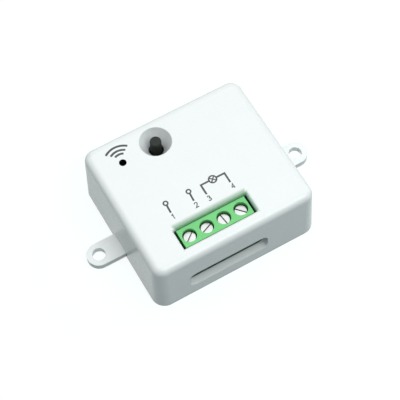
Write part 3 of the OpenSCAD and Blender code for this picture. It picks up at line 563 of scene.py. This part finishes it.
def ribbon(points, width, closed=False):
    """A printed stroke along points in the plane of the cover, with mitred bends."""
    bm = bmesh.new()
    points = [Vector(p) for p in points]
    n = len(points)
    sides = []
    for i, p in enumerate(points):
        before = points[i - 1] if closed or i > 0 else None
        after = points[(i + 1) % n] if closed or i < n - 1 else None
        way_in = (p - before).normalized() if before else (after - p).normalized()
        way_out = (after - p).normalized() if after else way_in
        across = left_of(way_in + way_out).normalized()
        reach = width / 2 / max(MITRE_LIMIT, across.dot(left_of(way_in)))
        sides.append((p + across * reach, p - across * reach))
    low, high = TOP_Z - INK_SINK, TOP_Z + INK_RISE
    loops = [[bm.verts.new((*pair[side], z)) for pair in sides]
             for side, z in ((0, low), (0, high), (1, high), (1, low))]
    for i in range(n if closed else n - 1):
        j = (i + 1) % n
        for a, b in zip(loops, loops[1:] + loops[:1]):
            bm.faces.new((a[i], a[j], b[j], b[i]))
    if not closed:
        for i in (0, n - 1):
            bm.faces.new([loop[i] for loop in loops])
    return mesh_from(bm, "stroke")


def printed(meshes, name):
    """One piece of ink from strokes, fused where they cross."""
    strokes = [placed("stroke", mesh) for mesh in meshes]
    for other in strokes[1:]:
        join = strokes[0].modifiers.new("join", "BOOLEAN")
        join.operation = "UNION"
        join.solver = "EXACT"
        join.object = other
    bm = bmesh.new()
    bm.from_object(strokes[0], bpy.context.evaluated_depsgraph_get())
    bmesh.ops.dissolve_limit(bm, angle_limit=FLAT_ANGLE, verts=bm.verts, edges=bm.edges)
    for stroke, mesh in zip(strokes, meshes):
        bpy.data.objects.remove(stroke)
        bpy.data.meshes.remove(mesh)
    piece_from(bm, name, ["ink"])


def arc(middle, radius, start, end):
    """Points along a part of a circle, with both its ends."""
    turns = [start + (end - start) * i / ARC_STEPS for i in range(ARC_STEPS + 1)]
    return [(middle[0] + radius * math.cos(t), middle[1] + radius * math.sin(t)) for t in turns]


def hoop(middle, radius):
    """A printed circle."""
    return ribbon(arc(middle, radius, 0, 2 * math.pi)[:-1], RING_STROKE, closed=True)


def print_arcs():
    """Three radio arcs that open from the light hole."""
    middle = (LIGHT.x + ARC_SHIFT[0], LIGHT.y + ARC_SHIFT[1])
    strokes = []
    for radius, half in ARCS:
        start, end = math.radians(ARC_MIDDLE - half), math.radians(ARC_MIDDLE + half)
        strokes.append(ribbon(arc(middle, radius, start, end), ARC_STROKE))
    printed(strokes, "printed_arcs")


def print_wiring():
    """Two supply wires that end in rings, and a lamp between the two output wires."""
    strokes = []
    for x in WIRE_X[:2]:
        strokes.append(hoop((x + RING_LEAN, WIRE_BACK), RING_R))
        strokes.append(ribbon([(x + RING_LEAN, WIRE_BACK - RING_R), (x, WIRE_FRONT)], WIRE_STROKE))
    lamp = Vector(((WIRE_X[2] + WIRE_X[3]) / 2, WIRE_BACK))
    strokes.append(hoop(lamp, LAMP_R))
    for turn in (math.pi / 4, -math.pi / 4):
        across = Vector((math.cos(turn), math.sin(turn))) * LAMP_R
        strokes.append(ribbon([lamp - across, lamp + across], CROSS_STROKE))
    for x, side in ((WIRE_X[2], -1), (WIRE_X[3], 1)):
        bend = [(lamp.x + side * LAMP_R, WIRE_BACK), (x, WIRE_BACK), (x, WIRE_FRONT)]
        strokes.append(ribbon(bend, WIRE_STROKE))
    printed(strokes, "printed_wiring")


def print_numbers():
    """Plain numbers, one to four, in front of the wires."""
    strokes = []
    for x, digit in zip(WIRE_X, DIGITS):
        for line in digit:
            points = [(x + (u - DIGIT_MIDDLE) * NUMBER_H, NUMBER_Y + v * NUMBER_H) for u, v in line]
            strokes.append(ribbon(points, NUMBER_STROKE))
    printed(strokes, "printed_numbers")


# Terminal screws
def thread_radius(angle, z, low, high):
    """Radius of a right-handed V thread that runs out at both ends of the shank."""
    phase = (z / THREAD_PITCH - angle / (2 * math.pi)) % 1
    fade = min(1, (high - z) / THREAD_PITCH)
    return min(THREAD_R - THREAD_DEPTH * fade * abs(2 * phase - 1), THREAD_R - TIP_EDGE + z - low)


def slotted_turns(slot_angle, gap, radius):
    """Angles round a screw at a radius, in two halves that stay a gap away from the middle of its slot."""
    first = math.asin(gap / radius)
    half = [first + (math.pi - 2 * first) * k / HALF_STEPS for k in range(HALF_STEPS + 1)]
    return [side + math.radians(slot_angle) + turn for side in (0, math.pi) for turn in half]


def make_screw(number, slot_angle):
    """A plated cheese head screw with its slot turned as the photograph shows it."""
    node = "terminal_screw_%d" % number
    # The slot's walls and floor take the darker metal, as painted shade in the slot
    finishes = ["plated_screw", "screw_slot"]
    slot_shade = finishes.index("screw_slot")
    low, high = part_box(node)
    middle = centre(node)
    radius = (high.x - low.x) / 2
    crown = radius - HEAD_EDGE
    under = high.z - HEAD_H
    around = slotted_turns(slot_angle, SLOT_W / 2, radius)
    levels = round((under - low.z) / THREAD_PITCH * THREAD_LEVELS)
    bm = bmesh.new()
    rings = []
    for k in range(levels + 1):
        z = low.z + (under - low.z) * k / levels
        rings.append([vertex(bm, middle, thread_radius(turn, z, low.z, under), turn, z) for turn in around])
    for r, z in ((crown, under), (radius, under + HEAD_EDGE), (radius, high.z - SLOT_DEPTH)):
        rings.append(ring(bm, middle, r, z, around))
    for a, b in zip(rings, rings[1:]):
        skin(bm, a, b)
    bm.faces.new(rings[0])
    slot_ring = rings[-1]
    shoulder = ring(bm, middle, radius, high.z - HEAD_EDGE, around)
    top = ring(bm, middle, crown, high.z, slotted_turns(slot_angle, SLOT_W / 2 + SLOT_EDGE, crown))
    half = HALF_STEPS + 1
    for part in (slice(0, half), slice(half, 2 * half)):
        for a, b in ((slot_ring, shoulder), (shoulder, top)):
            wall = skin(bm, a[part], b[part])[-1]
            wall.smooth = False
            wall.material_index = slot_shade
        bm.faces.new(top[part])
    slot_floor = bm.faces.new([slot_ring[k] for k in (0, half - 1, half, 2 * half - 1)])
    slot_floor.material_index = slot_shade
    stand_in(bm, "slotted_screw_%d" % number, node, finishes, "screw_%d" % number)


# Snap dome under the button
def make_dome():
    """A thin spherical cap under the button, built raised as it stands before the button presses it flat."""
    low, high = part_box("switch_dome")
    middle = centre("switch_dome")
    edge = (high.x - low.x) / 2
    rise = high.z - low.z
    ball = (edge ** 2 + rise ** 2) / (2 * rise)
    bm = bmesh.new()

    def cap(radius):
        """Rings of one side of the sheet, from its pole down to the rim."""
        reach = math.sqrt(radius ** 2 - (ball - rise) ** 2)
        rings = [[bm.verts.new((middle.x, middle.y, high.z - ball + radius))]]
        for k in range(1, DOME_RINGS + 1):
            out = reach * k / DOME_RINGS
            z = high.z - ball + math.sqrt(radius ** 2 - out ** 2)
            rings.append(ring(bm, middle, out, z, even_turns(DOME_STEPS)))
        return rings

    rings = cap(ball) + cap(ball - DOME_T)[::-1]
    for a, b in zip(rings, rings[1:]):
        skin(bm, a, b)
    piece = stand_in(bm, "snap_dome", "switch_dome", ["spring_brass"])
    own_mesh(piece)


# Coils and cans inside the case
def rounded(half_x, half_z, corner):
    """Points and outward directions round a rectangle with round corners, across the Y axis."""
    found = []
    for i in range(COIL_STEPS):
        turn = 2 * math.pi * (i + 0.5) / COIL_STEPS
        way = Vector((math.cos(turn), 0, math.sin(turn)))
        flat = Vector((math.copysign(half_x - corner, way.x), 0, math.copysign(half_z - corner, way.z)))
        found.append((flat + way * corner, way))
    return found


def make_coil(node, name, layers, corner=None):
    """A coil of wire along Y, with its turns standing out of its outer face; round unless it has corners."""
    low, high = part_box(node)
    middle = centre(node)
    half = (high - low) / 2
    corner = corner or half.x
    outer = rounded(half.x, half.z, corner)
    inner = rounded(half.x - layers, half.z - layers, corner - layers)
    bm = bmesh.new()

    def wire_ring(outline, y, depth):
        """Vertices along an outline, sunk between the turns of wire."""
        found = []
        for i, (point, way) in enumerate(outline):
            phase = (y / TURN_PITCH - i / COIL_STEPS) % 1
            sunk = depth * (1 - math.sin(math.pi * phase))
            found.append(bm.verts.new(middle + point - way * sunk + Vector((0, y, 0))))
        return found

    levels = round(2 * half.y / TURN_PITCH * TURN_LEVELS)
    rings = [wire_ring(outer, half.y * (2 * k / levels - 1), TURN_DEPTH) for k in range(levels + 1)]
    rings += [wire_ring(inner, y, 0) for y in (half.y, -half.y)]
    for a, b in zip(rings, rings[1:] + rings[:1]):
        skin(bm, a, b)
    stand_in(bm, name, node, ["copper_winding"])


def make_cans(node, name):
    """Two cans that stand side by side along Y, each in a striped sleeve round a bare top."""
    finishes = ["capacitor_sleeve", "sleeve_stripe", "tinned_metal"]
    low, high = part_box(node)
    radius = (high.x - low.x) / 2
    x = (low.x + high.x) / 2
    profile = [(radius - SEAL_INSET, low.z + SEAL_H), (radius - SEAL_INSET, low.z), (radius, low.z)]
    wall = len(profile) - 1
    for k in range(GROOVE_STEPS + 1):
        turn = math.pi * (k / GROOVE_STEPS - 0.5)
        profile.append((radius - GROOVE_DEPTH * math.cos(turn),
                        low.z + GROOVE_Z + GROOVE_DEPTH * math.sin(turn)))
    for k in range(CAN_ROLL_STEPS + 1):
        turn = math.pi / 2 * k / CAN_ROLL_STEPS
        profile.append((radius - CAN_ROLL + CAN_ROLL * math.cos(turn),
                        high.z - CAN_ROLL + CAN_ROLL * math.sin(turn)))
    rim = len(profile)
    profile += [(radius - SLEEVE_RIM, high.z), (radius - SLEEVE_RIM, high.z - SLEEVE_T)]
    bm = bmesh.new()
    for y in (low.y + radius, high.y - radius):
        rings = [ring(bm, (x, y), r, z, even_turns(CAN_STEPS)) for r, z in profile]
        for level, (a, b) in enumerate(zip(rings, rings[1:])):
            faces = skin(bm, a, b)
            if wall <= level < rim:
                for face in faces[:STRIPE_STEPS]:
                    face.material_index = finishes.index("sleeve_stripe")
        bm.faces.new(rings[0])
        bm.faces.new(rings[-1]).material_index = finishes.index("tinned_metal")
    stand_in(bm, name, node, finishes)


# The pieces of this part
softened("base_plate", "moulded_base", "white_shell", BASE_EDGE)
softened("terminal_housing", "moulded_housing", "green_housing", HOUSING_EDGE)
print_arcs()
print_wiring()
print_numbers()
for number, slot_angle in enumerate(SLOT_ANGLES, 1):
    make_screw(number, slot_angle)
make_dome()
make_coil("relay_winding", "wound_relay_coil", RELAY_LAYERS)
make_coil("transformer_winding", "wound_transformer_coil", TRANSFORMER_LAYERS, TRANSFORMER_BEND)
make_cans("bulk_capacitors", "sleeved_bulk_capacitors")
make_cans("output_capacitors", "sleeved_output_capacitors")
softened("fuse_resistor_leads", "bent_fuse_leads", "tinned_metal", LEAD_EDGE)


# Studio
def make_camera():
    """The photograph's camera: its place, its roll and its optical axis in the image."""
    level = math.cos(CAMERA_ELEVATION)
    back = Vector((math.sin(CAMERA_AZIMUTH) * level, -math.cos(CAMERA_AZIMUTH) * level,
                   math.sin(CAMERA_ELEVATION)))
    right = (-back).cross(Vector((0, 0, 1))).normalized()
    up = right.cross(-back)
    turned_right = right * math.cos(CAMERA_ROLL) + up * math.sin(CAMERA_ROLL)
    turned_up = up * math.cos(CAMERA_ROLL) - right * math.sin(CAMERA_ROLL)
    data = bpy.data.cameras.new("camera")
    data.sensor_width = SENSOR_MM
    data.lens = SENSOR_MM * FOCAL_PX / IMAGE_PX
    data.shift_x = 0.5 - AXIS_PX[0] / IMAGE_PX
    data.shift_y = AXIS_PX[1] / IMAGE_PX - 0.5
    pose = Matrix((turned_right, turned_up, back)).transposed().to_4x4()
    pose.translation = CAMERA_TARGET + back * CAMERA_DISTANCE
    camera = placed("camera", data)
    camera.matrix_world = pose
    bpy.context.scene.camera = camera


def seen_directly(tree):
    """1 for rays from the camera, a mirror or glass, which see the white background."""
    path = tree.nodes.new("ShaderNodeLightPath")
    mirrored = maths(tree, "MAXIMUM", path.outputs["Is Camera Ray"], path.outputs["Is Glossy Ray"])
    return maths(tree, "MAXIMUM", mirrored, path.outputs["Is Transmission Ray"])


def make_world():
    """White wherever it is seen, and no light of its own."""
    world = bpy.data.worlds.new("studio")
    world.use_nodes = True
    tree = world.node_tree
    white = tree.nodes["Background"]
    white.inputs["Color"].default_value = (*NEUTRAL, 1)
    tree.links.new(seen_directly(tree), white.inputs["Strength"])
    bpy.context.scene.world = world


def make_floor():
    """Pale floor that shows white, and keeps the part's shadow."""
    bpy.ops.mesh.primitive_plane_add(size=FLOOR_SIZE, location=(0, 0, FLOOR_Z))
    floor = bpy.context.object
    floor.name = "floor"
    mat, tree, shader = new_material("floor")
    shader.inputs["Base Color"].default_value = (*FLOOR_COLOUR, 1)
    shader.inputs["Roughness"].default_value = 1
    shader.inputs["Specular IOR Level"].default_value = 0
    shader.inputs["Emission Color"].default_value = (*NEUTRAL, 1)
    tree.links.new(between(tree, seen_directly(tree), 0, FLOOR_LIFT), shader.inputs["Emission Strength"])
    floor.data.materials.append(mat)


def make_lights():
    """Disc lamps that face the origin; at level 1 a lamp lights a white surface facing it to full white."""
    for name, light in LIGHTS.items():
        at = Vector(light["at"])
        data = bpy.data.lights.new(name, "AREA")
        data.shape = "DISK"
        data.size = light["size"]
        data.color = light["colour"]
        data.energy = light["level"] * math.pi ** 2 * at.length_squared
        lamp = placed(name, data)
        lamp.location = at
        lamp.rotation_euler = at.to_track_quat("Z", "Y").to_euler()


make_camera()
make_world()
make_floor()
make_lights()
bpy.context.scene.view_settings.view_transform = "Standard"
